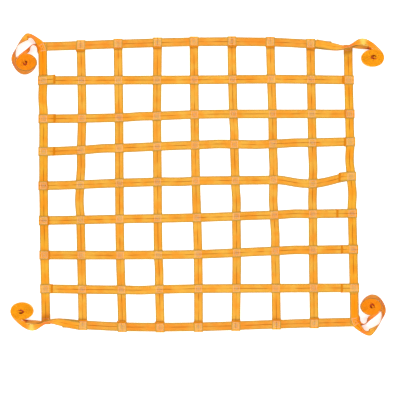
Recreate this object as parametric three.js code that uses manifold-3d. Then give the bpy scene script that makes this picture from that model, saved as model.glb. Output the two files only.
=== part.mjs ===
import * as THREE from 'three';
import Module from 'manifold-3d';

// Cargo lifting net laid flat, with its four corner loops rolled up. Sizes in mm, +Z up.
const STRAP_WIDTH = 55;
const STRAP_THICK = 2.5;
const LAYER_GAP = 0.3;
const UPRIGHT_PITCH = 234;
const CROSS_PITCH = 211;
const STRAPS_EACH_WAY = 9;

// Brings the middle of the laid net's outline, loops included, to the origin.
const OUTLINE_SHIFT_X = 2.93;
const OUTLINE_SHIFT_Y = 2.5;

// Where one strap passes over another it is level for the first distance and back down at the second.
const CROSSING_LEVEL = 34;
const CROSSING_FOOT = 75;

// A folded end: room between the fold and the border strap's edge, and the length over which a tail sinks.
const FOLD_ROOM = 1.2;
const FOLD_STEPS = 6;
const TAIL_SINK = 20;

// Border straps' cut ends at the corners, measured from the corner crossing.
const BORDER_OVERHANG = 27;
const UPRIGHT_UNDER_LOOP = 8;
const CROSS_UNDER_LOOP = -100;

// Rolled loops.
const ROLL_HEIGHT = 50;
const LOOP_WIDTH = 49.2;
const LOOP_FOOT = 0.4;
const LEG_STEPS = 2;
const ROLL_SIDES = 48;
const TURN_THICK = 5.6;
const CORE_SIDES = 14;

const HALF_WIDTH = STRAP_WIDTH / 2;
const LAYER = STRAP_THICK + LAYER_GAP;
const MIDDLE = (STRAPS_EACH_WAY - 1) / 2;
const LAST = STRAPS_EACH_WAY - 1;

// Each upright's shift to the right of its even place, from the top of the net to its bottom. The right
// border also swings in above the sagging strap's end and out below it.
const SWING = { upright: 8, at: 46, reach: 200, depth: 6 };
const uprightShifts = [
  { top: -15, upper: -10, middle: -10, lower: -4, bottom: 4 },
  { top: -16, upper: -9, middle: -21, lower: -14, bottom: -5 },
  { top: -24, upper: -18, middle: -16, lower: -11, bottom: 2 },
  { top: -17, upper: -21, middle: -17, lower: -13, bottom: -1 },
  { top: -29, upper: -25, middle: -17, lower: -4, bottom: -1 },
  { top: -32, upper: -23, middle: -10, lower: -2, bottom: -7 },
  { top: -31, upper: -18, middle: -12, lower: -1, bottom: 6 },
  { top: -20, upper: -12, middle: -6, lower: -4, bottom: 2 },
  { top: -25, upper: -17, middle: -6, lower: 6, bottom: 14 },
];

// How far an upright bows to the right between two crossings, counting straps and spans from the top left.
const uprightBows = [
  { strap: 0, span: 1, aside: -5 },
  { strap: 1, span: 3, aside: 4 },
  { strap: 1, span: 4, aside: -5 },
  { strap: 3, span: 6, aside: 3 },
  { strap: 5, span: 2, aside: 3 },
  { strap: 5, span: 4, aside: 4 },
  { strap: 6, span: 3, aside: 3 },
  { strap: 6, span: 4, aside: -4 },
  { strap: 6, span: 5, aside: 3 },
  { strap: 7, span: 3, aside: 3 },
  { strap: 7, span: 4, aside: -3 },
];

// How far a cross strap bows up between two crossings.
const crossBows = [
  { strap: 2, span: 2, aside: 3 },
  { strap: 3, span: 1, aside: 3 },
  { strap: 3, span: 4, aside: 3 },
  { strap: 3, span: 5, aside: -3 },
  { strap: 3, span: 6, aside: 3 },
  { strap: 4, span: 3, aside: -3 },
  { strap: 4, span: 6, aside: -3 },
  { strap: 5, span: 6, aside: 4 },
  { strap: 6, span: 6, aside: 3 },
  { strap: 7, span: 2, aside: -3 },
];

// Lengths of the uprights' folded tails, and how far each leans to the right by its cut end.
const uprightTails = [
  { top: 0, topLean: 0, bottom: 0, bottomLean: 0 },
  { top: 38, topLean: -5, bottom: 33, bottomLean: 0 },
  { top: 31, topLean: 0, bottom: 35, bottomLean: -6 },
  { top: 34, topLean: -2, bottom: 34, bottomLean: -5 },
  { top: 36, topLean: 0, bottom: 34, bottomLean: -4 },
  { top: 34, topLean: 3, bottom: 35, bottomLean: 0 },
  { top: 36, topLean: -2, bottom: 31, bottomLean: 2 },
  { top: 34, topLean: 2, bottom: 32, bottomLean: 4 },
  { top: 0, topLean: 0, bottom: 0, bottomLean: 0 },
];

// Each cross strap's shift up from its even place, from left to right. The middle one also sags between two
// uprights.
const SAG = { cross: 4, at: 705, reach: 245, depth: 34 };
const crossShifts = [
  { left: -4, inLeft: 11, middle: 24, inRight: 21, right: -3 },
  { left: -1, inLeft: 1, middle: 3, inRight: 7, right: 2 },
  { left: -24, inLeft: -16, middle: 3, inRight: 6, right: 6 },
  { left: -12, inLeft: 9, middle: 28, inRight: 35, right: 48 },
  { left: -10, inLeft: 7, middle: 20, inRight: 26, right: 48 },
  { left: -11, inLeft: -2, middle: 7, inRight: 23, right: 33 },
  { left: -11, inLeft: -11, middle: -6, inRight: 14, right: 24 },
  { left: -6, inLeft: -12, middle: -5, inRight: -2, right: 0 },
  { left: -3, inLeft: -26, middle: -26, inRight: -11, right: 2 },
];

// Lengths of the cross straps' folded tails, and how far each leans up by its cut end.
const crossTails = [
  { left: 0, leftLean: 0, right: 0, rightLean: 0 },
  { left: 75, leftLean: 9, right: 38, rightLean: 0 },
  { left: 73, leftLean: 2, right: 29, rightLean: 0 },
  { left: 71, leftLean: 0, right: 37, rightLean: -2 },
  { left: 29, leftLean: 0, right: 76, rightLean: 8 },
  { left: 33, leftLean: -2, right: 96, rightLean: 0 },
  { left: 32, leftLean: 0, right: 74, rightLean: 0 },
  { left: 46, leftLean: 3, right: 80, rightLean: -2 },
  { left: 0, leftLean: 0, right: 0, rightLean: 0 },
];

// Routes of a loop's two legs from its sewn end to its roll, measured from the corner crossing: the strap's
// lower edge in plan, how far the strap has tilted up on that edge (degrees), and how high that edge lies.
const standingLoop = {
  hand: 1,
  roll: { x: -97, y: -98, across: 126, along: 104, outerFrom: -35, innerFrom: 165 },
  core: { x: -5.5, y: -5, across: 11, along: 14.5 },
  outerLeg: [
    { x: 26, y: -174, tilt: 0, lift: 5.9 },
    { x: 26, y: -156, tilt: 0, lift: 8.1 },
    { x: 26, y: -120, tilt: 0, lift: 8.4 },
    { x: 26, y: -68, tilt: 0, lift: 8.4 },
    { x: 23, y: -19, tilt: 3, lift: 8.4 },
    { x: 13, y: 12, tilt: 12, lift: 8.4 },
    { x: -3, y: 33, tilt: 24, lift: 6.5 },
    { x: -28, y: 51, tilt: 50, lift: 2.5 },
    { x: -54, y: 67, tilt: 62, lift: 0 },
    { x: -78, y: 78, tilt: 46, lift: 0 },
    { x: -99, y: 79, tilt: 29, lift: 0 },
    { x: -118, y: 63, tilt: 36, lift: 0 },
    { x: -139, y: 33, tilt: 62, lift: 0 },
    { x: -154, y: 8, tilt: 79, lift: 0 },
    { x: -164, y: -13, tilt: 80, lift: 0 },
    { x: -181, y: -40, tilt: 64, lift: 0 },
    { x: -191, y: -66, tilt: 50, lift: 0 },
    { x: -189, y: -95, tilt: 54, lift: 0 },
    { x: -176, y: -124, tilt: 64, lift: 0 },
    { x: -157, y: -150, tilt: 66, lift: 0 },
    { x: -133, y: -167, tilt: 64, lift: 0 },
    { x: -103, y: -171, tilt: 64, lift: 0 },
    { x: -72, y: -158, tilt: 76, lift: 0 },
    { x: -48, y: -134, tilt: 88, lift: 0 },
    { x: -43, y: -112, tilt: 90, lift: 0 },
  ],
  innerLeg: [
    { x: 26, y: -150, tilt: 0, lift: 5.6 },
    { x: 26, y: -120, tilt: 0, lift: 5.6 },
    { x: 26, y: -71, tilt: 0, lift: 5.6 },
    { x: 21, y: -38, tilt: 3, lift: 5.6 },
    { x: 8, y: -10, tilt: 12, lift: 5.6 },
    { x: -12, y: 10, tilt: 38, lift: 5.6 },
    { x: -32, y: 15, tilt: 62, lift: 5.2 },
    { x: -51, y: 15, tilt: 76, lift: 2 },
    { x: -66, y: 10, tilt: 79, lift: 0 },
    { x: -78, y: 1, tilt: 76, lift: 0 },
    { x: -96, y: -15, tilt: 58, lift: 0 },
    { x: -121, y: -34, tilt: 61, lift: 0 },
    { x: -145, y: -54, tilt: 74, lift: 0 },
    { x: -157, y: -69, tilt: 88, lift: 0 },
    { x: -158, y: -90, tilt: 90, lift: 0 },
    { x: -150, y: -115, tilt: 90, lift: 0 },
  ],
};
const trailingLoop = {
  hand: -1,
  roll: { x: 147, y: -74, across: 143, along: 106, outerFrom: -45, innerFrom: 92 },
  core: { x: 6, y: 5, across: 15, along: 11 },
  outerLeg: [
    { x: -193, y: 41.5, tilt: 0, lift: 8.4 },
    { x: -131, y: 31, tilt: 6, lift: 8.4 },
    { x: -76, y: 16, tilt: 26, lift: 7.6 },
    { x: -34, y: 5, tilt: 54, lift: 3 },
    { x: -3, y: 3, tilt: 70, lift: 3 },
    { x: 24, y: 17, tilt: 58, lift: 2 },
    { x: 43, y: 30, tilt: 42, lift: 0 },
    { x: 61, y: 41, tilt: 36, lift: 0 },
    { x: 85, y: 47, tilt: 34, lift: 0 },
    { x: 110, y: 43, tilt: 36, lift: 0 },
    { x: 135, y: 31, tilt: 42, lift: 0 },
    { x: 164, y: 10, tilt: 52, lift: 0 },
    { x: 189, y: -14, tilt: 62, lift: 0 },
    { x: 210, y: -38, tilt: 72, lift: 0 },
    { x: 219, y: -66, tilt: 82, lift: 0 },
    { x: 213, y: -92, tilt: 88, lift: 0 },
    { x: 188, y: -108, tilt: 90, lift: 0 },
  ],
  innerLeg: [
    { x: -182, y: 38.6, tilt: 0, lift: 5.6 },
    { x: -131, y: 28, tilt: 6, lift: 5.6 },
    { x: -76, y: 13, tilt: 26, lift: 5.2 },
    { x: -34, y: -1, tilt: 56, lift: 3 },
    { x: -3, y: -8, tilt: 78, lift: 3 },
    { x: 22, y: -11, tilt: 98, lift: 4 },
    { x: 48, y: -14, tilt: 112, lift: 0 },
    { x: 73, y: -17, tilt: 117, lift: 0 },
    { x: 92, y: -17, tilt: 113, lift: 0 },
    { x: 116, y: -19, tilt: 112, lift: 0 },
    { x: 138, y: -24, tilt: 98, lift: 0 },
    { x: 170, y: -36, tilt: 90, lift: 0 },
  ],
};

// The loops: corner, form, the straps that cross there, half turn, and a small shift of where it lies.
const loops = [
  { corner: 'top_left', form: standingLoop, upright: 0, cross: 0, turned: false, x: 0, y: 0 },
  { corner: 'top_right', form: trailingLoop, upright: LAST, cross: 0, turned: false, x: 0, y: 0 },
  { corner: 'bottom_right', form: standingLoop, upright: LAST, cross: LAST, turned: true, x: 0, y: -3 },
  { corner: 'bottom_left', form: trailingLoop, upright: 0, cross: LAST, turned: true, x: 4, y: 0 },
];

const wasm = await Module();
wasm.setup();

// Smooth curve through the values a, b, c, d, from b (part 0) to c (part 1).
function smoothBetween(a, b, c, d, part) {
  const square = part * part;
  const cube = square * part;
  const rise = (c - a) * part;
  const bow = (2 * a - 5 * b + 4 * c - d) * square;
  const turn = (3 * b - 3 * c + d - a) * cube;
  return 0.5 * (2 * b + rise + bow + turn);
}

function smoothAlong(values, fraction) {
  const last = values.length - 1;
  const place = Math.min(Math.max(fraction, 0), 1) * last;
  const first = Math.min(Math.floor(place), last - 1);
  const pick = (k) => values[Math.min(Math.max(k, 0), last)];
  return smoothBetween(pick(first - 1), pick(first), pick(first + 1), pick(first + 2), place - first);
}

// How far a strap bows aside at a place counted in spans from its first crossing.
function bowAt(bows, strap, place) {
  const span = Math.floor(place);
  const bow = bows.find((row) => row.strap === strap && row.span === span);
  return bow ? bow.aside * Math.sin(Math.PI * (place - span)) ** 2 : 0;
}

function uprightX(index, y) {
  const row = uprightShifts[index];
  const shifts = [row.top, row.upper, row.middle, row.lower, row.bottom];
  const downward = 0.5 - y / (LAST * CROSS_PITCH);
  const off = (y - SWING.at) / SWING.reach;
  const wave = index === SWING.upright && Math.abs(off) < 1 ? Math.sin(Math.PI * off) : 0;
  const swing = SWING.depth * wave * Math.abs(wave);
  const bow = bowAt(uprightBows, index, LAST / 2 - y / CROSS_PITCH);
  return (index - MIDDLE) * UPRIGHT_PITCH + smoothAlong(shifts, downward) - swing + bow;
}

function crossY(index, x) {
  const row = crossShifts[index];
  const shifts = [row.left, row.inLeft, row.middle, row.inRight, row.right];
  const rightward = 0.5 + x / (LAST * UPRIGHT_PITCH);
  const off = Math.abs(x - SAG.at) / SAG.reach;
  const sag = index === SAG.cross && off < 1 ? SAG.depth * (0.5 + 0.5 * Math.cos(Math.PI * off)) : 0;
  const bow = bowAt(crossBows, index, LAST / 2 + x / UPRIGHT_PITCH);
  return (MIDDLE - index) * CROSS_PITCH + smoothAlong(shifts, rightward) - sag + bow;
}

function crossing(upright, cross) {
  let x = (upright - MIDDLE) * UPRIGHT_PITCH;
  let y = crossY(cross, x);
  for (let pass = 0; pass < 4; pass += 1) {
    x = uprightX(upright, y);
    y = crossY(cross, x);
  }
  return { x, y };
}

// Layer 0 lies on the floor, layer 1 on a strap, layer 2 on two straps. Height is of the webbing's middle.
function layerHeight(layer) {
  return STRAP_THICK / 2 + layer * LAYER;
}

// Stations of an end folded round a border strap at the place `border`, from the tail's cut end to the main
// length below it; `inward` is +1 where the net lies at larger run values.
function foldedEnd(border, inward, tail, lean) {
  const stations = [];
  const outer = HALF_WIDTH + FOLD_ROOM;
  const sideAt = (distance) => (lean * (distance + outer)) / (tail + outer);
  const put = (distance, height) => {
    stations.push({ run: border + inward * distance, height, shift: sideAt(distance) });
  };
  const level = HALF_WIDTH + 4;
  if (tail > level + TAIL_SINK + 4) {
    put(tail, layerHeight(1));
    put(level + TAIL_SINK, layerHeight(1));
    put(level, layerHeight(2));
  } else {
    put(tail, layerHeight(2));
  }
  for (let step = 0; step <= FOLD_STEPS; step += 1) {
    const angle = (Math.PI * step) / FOLD_STEPS;
    const out = outer + LAYER * Math.sin(angle);
    const height = layerHeight(1) + LAYER * Math.cos(angle);
    stations.push({ run: border - inward * out, height, shift: 0 });
  }
  return stations;
}

// Stations of a strap rising over the strap that crosses it at the place `run`.
function riseOver(run) {
  return [
    { run: run - CROSSING_FOOT, height: layerHeight(0), shift: 0 },
    { run: run - CROSSING_LEVEL, height: layerHeight(1), shift: 0 },
    { run: run + CROSSING_LEVEL, height: layerHeight(1), shift: 0 },
    { run: run + CROSSING_FOOT, height: layerHeight(0), shift: 0 },
  ];
}

// Closed body from a row of four-cornered sections.
function bodyFromSections(sections) {
  const positions = [];
  const index = [];
  for (const section of sections) {
    for (const corner of section) {
      positions.push(corner.x, corner.y, corner.z);
    }
  }
  const ends = (sections.length - 1) * 4;
  for (let k = 0; k < ends; k += 4) {
    for (let side = 0; side < 4; side += 1) {
      const next = (side + 1) % 4;
      index.push(k + side, k + next, k + 4 + next);
      index.push(k + side, k + 4 + next, k + 4 + side);
    }
  }
  index.push(0, 2, 1, 0, 3, 2);
  index.push(ends, ends + 1, ends + 2, ends, ends + 2, ends + 3);
  let volume = 0;
  const a = new THREE.Vector3();
  const b = new THREE.Vector3();
  const c = new THREE.Vector3();
  for (let k = 0; k < index.length; k += 3) {
    a.fromArray(positions, 3 * index[k]);
    b.fromArray(positions, 3 * index[k + 1]);
    c.fromArray(positions, 3 * index[k + 2]);
    volume += a.dot(b.cross(c));
  }
  if (volume < 0) {
    index.reverse();
  }
  const geometry = new THREE.BufferGeometry();
  geometry.setAttribute('position', new THREE.Float32BufferAttribute(positions, 3));
  geometry.setIndex(index);
  return geometry;
}

// A laid strap: its stations run along it, `sideAt` gives its middle line, and `place` turns run, side and
// height into a point.
function laidStrap(stations, sideAt, place) {
  const sections = [];
  const last = stations.length - 1;
  stations.forEach((here, k) => {
    const before = stations[Math.max(k - 1, 0)];
    const after = stations[Math.min(k + 1, last)];
    const into = new THREE.Vector2(here.run - before.run, here.height - before.height).normalize();
    const away = new THREE.Vector2(after.run - here.run, after.height - here.height).normalize();
    const heading = into.clone().add(away).normalize();
    const straightest = k > 0 ? into : away;
    const stretch = 1 / Math.max(heading.dot(straightest), 0.5);
    const reach = (STRAP_THICK / 2) * stretch;
    const side = sideAt(here.run) + here.shift;
    const section = [];
    for (const [edge, face] of [[-1, -1], [1, -1], [1, 1], [-1, 1]]) {
      const run = here.run - heading.y * reach * face;
      const height = here.height + heading.x * reach * face;
      section.push(place(run, side + edge * HALF_WIDTH, height));
    }
    sections.push(section);
  });
  return bodyFromSections(sections);
}

function crossStrap(index) {
  const tails = crossTails[index];
  const stations = [];
  const left = crossing(0, index);
  const right = crossing(LAST, index);
  const isTop = index === 0;
  const isBottom = index === LAST;
  if (isTop) {
    stations.push({ run: left.x - BORDER_OVERHANG, height: layerHeight(0), shift: 0 });
    stations.push({ run: left.x + CROSSING_LEVEL, height: layerHeight(0), shift: 0 });
  } else if (isBottom) {
    stations.push({ run: left.x - CROSS_UNDER_LOOP, height: layerHeight(1), shift: 0 });
  } else {
    stations.push(...foldedEnd(left.x, 1, tails.left, tails.leftLean));
  }
  for (let upright = 1; upright < LAST; upright += 1) {
    stations.push(...riseOver(crossing(upright, index).x));
  }
  if (isTop) {
    stations.pop();
    stations.push({ run: right.x + CROSS_UNDER_LOOP, height: layerHeight(1), shift: 0 });
  } else if (isBottom) {
    stations.splice(1, 1);
    stations.push({ run: right.x - CROSSING_LEVEL, height: layerHeight(0), shift: 0 });
    stations.push({ run: right.x + BORDER_OVERHANG, height: layerHeight(0), shift: 0 });
  } else {
    stations.push(...foldedEnd(right.x, -1, tails.right, tails.rightLean).reverse());
  }
  const place = (run, side, height) => new THREE.Vector3(run, side, height);
  return laidStrap(stations, (run) => crossY(index, run), place);
}

function uprightStrap(index) {
  const tails = uprightTails[index];
  const stations = [];
  const bottom = crossing(index, LAST);
  const top = crossing(index, 0);
  const isLeft = index === 0;
  const isRight = index === LAST;
  if (isLeft) {
    stations.push({ run: bottom.y - UPRIGHT_UNDER_LOOP, height: layerHeight(0), shift: 0 });
  } else if (isRight) {
    stations.push({ run: bottom.y - BORDER_OVERHANG, height: layerHeight(1), shift: 0 });
  } else {
    stations.push(...foldedEnd(bottom.y, 1, tails.bottom, tails.bottomLean));
  }
  for (let cross = LAST - 1; cross > 0; cross -= 1) {
    const at = crossing(index, cross).y;
    if (isLeft || isRight) {
      stations.push(...riseOver(at));
    } else {
      stations.push({ run: at - CROSS_PITCH / 4, height: layerHeight(0), shift: 0 });
      stations.push({ run: at + CROSS_PITCH / 4, height: layerHeight(0), shift: 0 });
    }
  }
  if (isLeft) {
    stations.pop();
    stations.push({ run: top.y + BORDER_OVERHANG, height: layerHeight(1), shift: 0 });
  } else if (isRight) {
    stations.splice(1, 1);
    stations.push({ run: top.y + UPRIGHT_UNDER_LOOP, height: layerHeight(0), shift: 0 });
  } else {
    stations.push(...foldedEnd(top.y, -1, tails.top, tails.topLean).reverse());
  }
  const place = (run, side, height) => new THREE.Vector3(side, run, height);
  return laidStrap(stations, (run) => uprightX(index, run), place);
}

// A loop's leg: a strap whose lower edge follows the route while it tilts up on that edge.
function loopLeg(rows, hand) {
  const route = [];
  const last = rows.length - 1;
  const pick = (k) => rows[Math.min(Math.max(k, 0), last)];
  for (let k = 0; k < last; k += 1) {
    for (let step = 0; step < LEG_STEPS; step += 1) {
      const part = step / LEG_STEPS;
      const point = {};
      for (const column of ['x', 'y', 'tilt']) {
        const values = [k - 1, k, k + 1, k + 2].map((number) => pick(number)[column]);
        point[column] = smoothBetween(...values, part);
      }
      point.lift = rows[k].lift + (rows[k + 1].lift - rows[k].lift) * part;
      route.push(point);
    }
  }
  route.push(rows[last]);
  const sections = route.map((here, k) => {
    const before = route[Math.max(k - LEG_STEPS, 0)];
    const after = route[Math.min(k + LEG_STEPS, route.length - 1)];
    const heading = new THREE.Vector3(after.x - before.x, after.y - before.y, 0).normalize();
    const inward = new THREE.Vector3(-heading.y, heading.x, 0).multiplyScalar(hand);
    const tilt = THREE.MathUtils.degToRad(here.tilt);
    const across = inward.multiplyScalar(Math.cos(tilt)).add(new THREE.Vector3(0, 0, Math.sin(tilt)));
    const through = new THREE.Vector3().crossVectors(heading, across).multiplyScalar(STRAP_THICK / 2);
    const foot = here.lift + LOOP_FOOT + (STRAP_THICK / 2) * Math.abs(Math.cos(tilt));
    const lower = new THREE.Vector3(here.x, here.y, foot);
    const upper = lower.clone().addScaledVector(across, LOOP_WIDTH);
    return [
      lower.clone().sub(through),
      upper.clone().sub(through),
      upper.clone().add(through),
      lower.clone().add(through),
    ];
  });
  return bodyFromSections(sections);
}

// The wound form: each leg begins a layer where it comes onto the roll and sinks a turn's thickness a turn.
function woundRoll(form) {
  const { roll, core, hand } = form;
  const outline = new THREE.Shape();
  const turnOf = (degrees, from) => ((((degrees - from) * hand) % 360) + 360) % 360;
  const outerLead = turnOf(roll.outerFrom, roll.innerFrom);
  for (let k = 0; k < ROLL_SIDES; k += 1) {
    const degrees = (360 * k) / ROLL_SIDES;
    const past = turnOf(degrees, roll.innerFrom);
    const sunk = (TURN_THICK * past) / 360 - (past > outerLead ? TURN_THICK / 2 : 0);
    const angle = THREE.MathUtils.degToRad(degrees);
    const x = roll.x + (roll.across / 2 - sunk) * Math.cos(angle);
    const y = roll.y + (roll.along / 2 - sunk) * Math.sin(angle);
    if (k === 0) {
      outline.moveTo(x, y);
    } else {
      outline.lineTo(x, y);
    }
  }
  outline.closePath();
  const middle = new THREE.Vector2(roll.x + core.x, roll.y + core.y);
  const hole = new THREE.Path();
  hole.absellipse(middle.x, middle.y, core.across, core.along, 0, 2 * Math.PI, true, 0.5);
  outline.holes.push(new THREE.Path(hole.getPoints(CORE_SIDES).slice(0, -1)));
  return new THREE.ExtrudeGeometry(outline, { depth: ROLL_HEIGHT, bevelEnabled: false, steps: 1 });
}

// Closed body with its shared corners joined, ready to be added to another.
function solidOf(geometry) {
  const source = geometry.index ? geometry.toNonIndexed() : geometry;
  const points = source.getAttribute('position');
  const numbers = new Map();
  const vertProperties = [];
  const triVerts = [];
  for (let k = 0; k < points.count; k += 1) {
    const point = [points.getX(k), points.getY(k), points.getZ(k)];
    const key = point.map((value) => Math.round(value * 1e4)).join();
    if (!numbers.has(key)) {
      numbers.set(key, numbers.size);
      vertProperties.push(...point);
    }
    triVerts.push(numbers.get(key));
  }
  const mesh = new wasm.Mesh({
    numProp: 3,
    vertProperties: new Float32Array(vertProperties),
    triVerts: new Uint32Array(triVerts),
  });
  return new wasm.Manifold(mesh);
}

function liftingLoop(entry) {
  const { form } = entry;
  const legs = [loopLeg(form.outerLeg, form.hand), loopLeg(form.innerLeg, form.hand)];
  const joined = legs.reduce((sum, leg) => sum.add(solidOf(leg)), solidOf(woundRoll(form)));
  const mesh = joined.getMesh();
  const geometry = new THREE.BufferGeometry();
  geometry.setAttribute('position', new THREE.BufferAttribute(Float32Array.from(mesh.vertProperties), 3));
  geometry.setIndex(Array.from(mesh.triVerts));
  const corner = crossing(entry.upright, entry.cross);
  if (entry.turned) {
    geometry.rotateZ(Math.PI);
  }
  geometry.translate(corner.x + entry.x, corner.y + entry.y, 0);
  return geometry;
}

const net = new THREE.Group();
net.name = 'cargo_lifting_net';

function addPiece(name, geometry, color) {
  const material = new THREE.MeshStandardMaterial({ name: `${name}_webbing`, color, roughness: 0.85 });
  geometry.translate(OUTLINE_SHIFT_X, OUTLINE_SHIFT_Y, 0);
  const piece = new THREE.Mesh(geometry, material);
  piece.name = name;
  net.add(piece);
}

for (let index = 0; index < STRAPS_EACH_WAY; index += 1) {
  addPiece(`upright_strap_${index + 1}`, uprightStrap(index), 0xf2a53c);
}
for (let index = 0; index < STRAPS_EACH_WAY; index += 1) {
  addPiece(`cross_strap_${index + 1}`, crossStrap(index), 0xf5ab42);
}
for (const entry of loops) {
  addPiece(`lifting_loop_${entry.corner}`, liftingLoop(entry), 0xf08c14);
}

export default net;
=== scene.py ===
import math

import bpy
import numpy as np
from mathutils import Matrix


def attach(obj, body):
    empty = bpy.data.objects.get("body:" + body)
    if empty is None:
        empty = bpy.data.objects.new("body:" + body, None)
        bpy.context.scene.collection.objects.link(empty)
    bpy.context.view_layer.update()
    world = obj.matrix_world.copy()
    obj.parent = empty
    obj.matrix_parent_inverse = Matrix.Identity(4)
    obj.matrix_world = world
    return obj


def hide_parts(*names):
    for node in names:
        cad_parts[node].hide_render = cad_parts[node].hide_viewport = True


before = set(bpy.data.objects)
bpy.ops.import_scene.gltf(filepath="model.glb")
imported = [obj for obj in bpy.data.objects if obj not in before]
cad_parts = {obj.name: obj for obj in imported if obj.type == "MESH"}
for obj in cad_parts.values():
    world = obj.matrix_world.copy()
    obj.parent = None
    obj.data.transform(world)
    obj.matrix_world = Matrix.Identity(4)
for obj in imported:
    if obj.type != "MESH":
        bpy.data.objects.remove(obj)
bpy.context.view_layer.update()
scene = bpy.context.scene

# Sizes of the webbing and of the laid net in mm; meshes are turned into metres as they are made.
MM = 0.001
STRAP_WIDTH = 55.0
STRAP_THICK = 2.5
LAYER_GAP = 0.3
LAYER = STRAP_THICK + LAYER_GAP
UPRIGHT_PITCH = 234.0
CROSS_PITCH = 211.0
STATION = 9.0

# The webbing's rounded edge: how far in, and half its thickness there. Its flat faces have points this far
# off their middle too.
SELVEDGE_ROUND = ((0.05, 0.75), (0.35, 1.08), (0.9, 1.22), (2.5, STRAP_THICK / 2))
FLAT_HALF = 8.0

# The nine straps each way are numbered from 0. The shift centres the net's outline on the origin.
LAST = 8
MIDDLE = 4
OUTLINE_SHIFT = np.array([2.93, 2.5, 0.0])
SETTLING_ROUNDS = 4

# How far either side of a strap it crosses a strap lies level, and where it is down on the floor.
CROSSING_LEVEL = 34.0
CROSSING_FOOT = 75.0

# A tail is folded round its border with a little room, and lies level past the border's other edge.
# A long one then sinks.
FOLD_ROOM = 1.2
FOLD_OUT = STRAP_WIDTH / 2 + FOLD_ROOM
FOLD_STEPS = 12
TAIL_ROOM = 4.0
TAIL_LEVEL = STRAP_WIDTH / 2 + TAIL_ROOM
TAIL_SINK = 20.0
TAIL_STATION = 5.0

# How far borders reach past a corner crossing. Below a trailing loop the side border reaches less far,
# and the end border stops short of the crossing.
BORDER_OVERHANG = 27.0
UPRIGHT_UNDER_LOOP = 8.0
CROSS_UNDER_LOOP = 100.0

# Rolled loops: the webbing's cut width, its width on edge, and how far its lower edge is off the floor.
LOOP_WIDTH = 49.2
LOOP_FOOT = 0.4
LOOP_STATION = 6.0
# A loop's directions are averaged over this many stations each side.
STEADY = 4
# A turn may look this thick where the roll leaves it room.
SPREAD_THICK = 3.8
# Degrees in a turn and between its rows, and how much sooner than the inner strap the outer may start.
FULL_TURN = 360.0
TURN_STEP = 15.0
EARLY_START = 60.0
# How far the last turn's lower edge is drawn in, and over how many degrees.
FUNNEL = 6.0
FUNNEL_OVER = 240.0
# Degrees from which, and over which, the outer turn's tone becomes the roll's own.
RIM_UNTIL = 250.0
RIM_FADE = 90.0
# The bight across a roll's core: degrees past the last turn, share of the core's size, and tilt.
BIGHT = ((35, 0.5, 92), (65, 0.42, 86), (90, 0.28, 81), (108, 0.15, 79), (270, 0.12, 78), (279, 0.32, 78))
# Its station length, the steps round its tip, and how many stations past the last turn it starts.
BIGHT_STATION = 2.5
BIGHT_STEPS = 8
BIGHT_CLEAR = 2

# Each upright: its shift to the right of its even place at five heights from the top, then its top
# tail, that tail's lean, its bottom tail, and that tail's lean.
UPRIGHTS = [
    ((-15, -10, -10, -4, 4), 0, 0, 0, 0),
    ((-16, -9, -21, -14, -5), 38, -5, 33, 0),
    ((-24, -18, -16, -11, 2), 31, 0, 35, -6),
    ((-17, -21, -17, -13, -1), 34, -2, 34, -5),
    ((-29, -25, -17, -4, -1), 36, 0, 34, -4),
    ((-32, -23, -10, -2, -7), 34, 3, 35, 0),
    ((-31, -18, -12, -1, 6), 36, -2, 31, 2),
    ((-20, -12, -6, -4, 2), 34, 2, 32, 4),
    ((-25, -17, -6, 6, 14), 0, 0, 0, 0),
]
# Each cross strap: its shift up from its even place at five places from the left, then its left tail,
# that tail's lean, its right tail, and that tail's lean.
CROSSES = [
    ((-4, 11, 24, 21, -3), 0, 0, 0, 0),
    ((-1, 1, 3, 7, 2), 75, 9, 38, 0),
    ((-24, -16, 3, 6, 6), 73, 2, 29, 0),
    ((-12, 9, 28, 35, 48), 71, 0, 37, -2),
    ((-10, 7, 20, 26, 48), 29, 0, 76, 8),
    ((-11, -2, 7, 23, 33), 33, -2, 96, 0),
    ((-11, -11, -6, 14, 24), 32, 0, 74, 0),
    ((-6, -12, -5, -2, 0), 46, 3, 80, -2),
    ((-3, -26, -26, -11, 2), 0, 0, 0, 0),
]
# How far a strap bows aside between two crossings: strap and span, then mm to the right or up.
UPRIGHT_BOWS = {
    (0, 1): -5, (1, 3): 4, (1, 4): -5, (3, 6): 3, (5, 2): 3, (5, 4): 4,
    (6, 3): 3, (6, 4): -4, (6, 5): 3, (7, 3): 3, (7, 4): -3,
}
CROSS_BOWS = {
    (2, 2): 3, (3, 1): 3, (3, 4): 3, (3, 5): -3, (3, 6): 3,
    (4, 3): -3, (4, 6): -3, (5, 6): 4, (6, 6): 3, (7, 2): -3,
}
# One cross strap sags near its right end: which one, where along it, how far each way, and how deep.
SAG_CROSS, SAG_AT, SAG_REACH, SAG_DEPTH = 4, 705.0, 245.0, 34.0
# The right border swings beside it: which upright, at what height, how far each way, how far aside.
SWING_UPRIGHT, SWING_AT, SWING_REACH, SWING_DEPTH = 8, 46.0, 200.0, 6.0
# The end borders bend in below the trailing loops: how deep, from how far out, and over what length.
BEND_DEPTH, BEND_FROM, BEND_OVER = 3.5, 685.0, 130.0

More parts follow.
